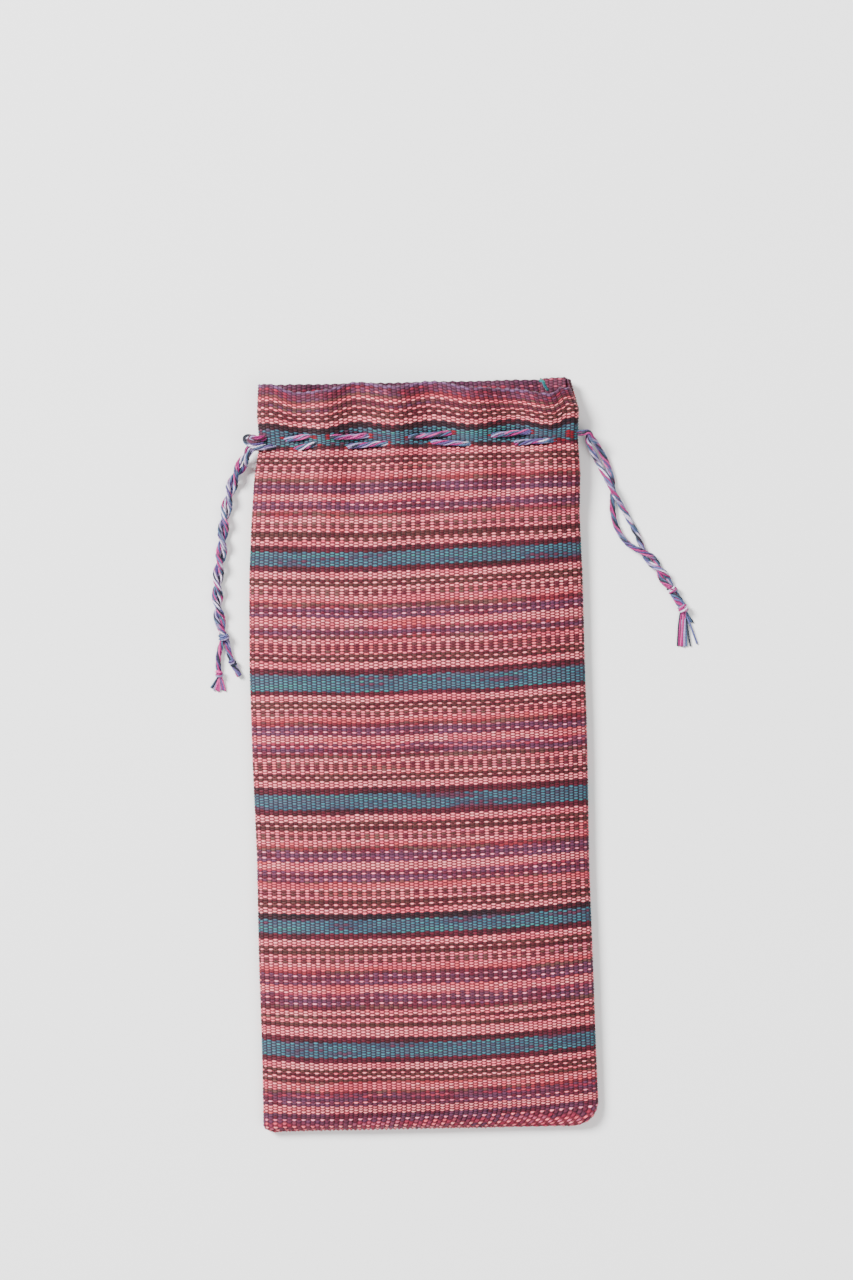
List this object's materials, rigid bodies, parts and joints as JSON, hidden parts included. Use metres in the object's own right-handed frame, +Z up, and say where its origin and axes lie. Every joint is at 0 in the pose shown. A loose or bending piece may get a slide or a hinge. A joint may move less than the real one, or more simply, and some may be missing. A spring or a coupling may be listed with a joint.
{
  "type": "drawstring gift pouch",
  "caption": "Flat drawstring pouch of striped rib-weave cotton, hollow and open at the mouth, with twisted cords threaded round it and tied off in knots and small tassels.",
  "frame": {"origin": "on the surface that the pouch lies on, under the middle of the cloth bag", "axes": "+X across the pouch, +Y along it from the closed end to the mouth, +Z up from the surface"},
  "size_m": [0.1479, 0.2257, 0.0125],
  "materials": {
    "cloth": "warp-faced rib weave in cotton, striped pink, maroon, plum and teal, matt",
    "cord": "loosely twisted cotton threads, lilac, magenta, blue, white and charcoal, soft sheen"
  },
  "bodies": {
    "root": {"cloth_bag": "cloth", "seam_allowance": "cloth", "left_drawstring": "cord", "right_drawstring": "cord", "left_tail_front": "cord", "left_tail_back": "cord", "right_tail_front": "cord", "right_tail_back": "cord", "left_end_outer": "cord", "left_end_inner": "cord", "left_stub": "cord", "right_neck": "cord", "left_knot": "cord", "left_end_knot_outer": "cord", "left_end_knot_inner": "cord", "right_knot_upper": "cord", "right_knot_lower": "cord", "left_tassel": "cord", "right_tassel": "cord"}
  },
  "joints": []
}
